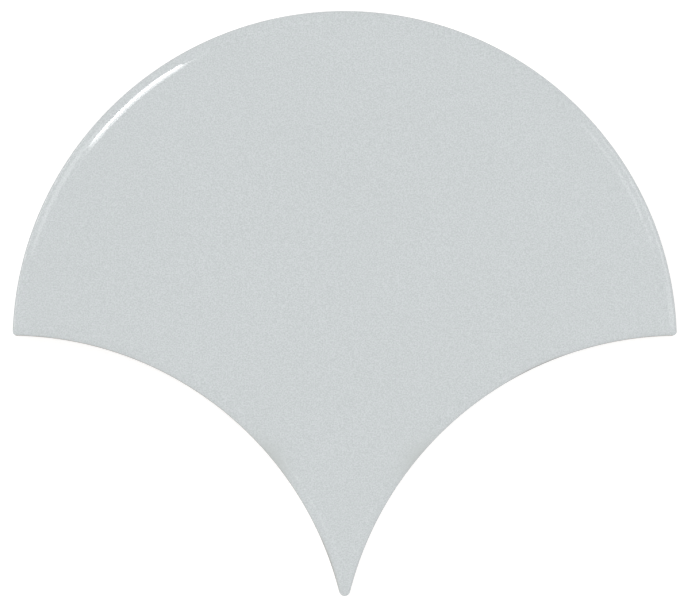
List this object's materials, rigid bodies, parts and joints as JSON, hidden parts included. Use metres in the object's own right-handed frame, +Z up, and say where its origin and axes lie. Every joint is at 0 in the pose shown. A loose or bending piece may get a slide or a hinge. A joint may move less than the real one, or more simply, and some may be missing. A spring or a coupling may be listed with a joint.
{
  "type": "fish scale tile",
  "caption": "Pale grey glazed fish scale wall tile: a round dome above, concave scallops below that meet in a pointed tip, a softly rolled face edge and a ribbed back.",
  "frame": {"origin": "middle of the tile's length and width, on the plane that its back rests on", "axes": "+Z up out of the glazed face, +Y towards the top of the dome with the tip at -Y, +X to the right as seen from the glazed face"},
  "size_m": [0.12, 0.1057, 0.0085],
  "materials": {
    "glaze": "gloss pale grey glaze on an off-white biscuit body"
  },
  "bodies": {
    "root": {"fish_scale_tile": "glaze"}
  },
  "joints": []
}
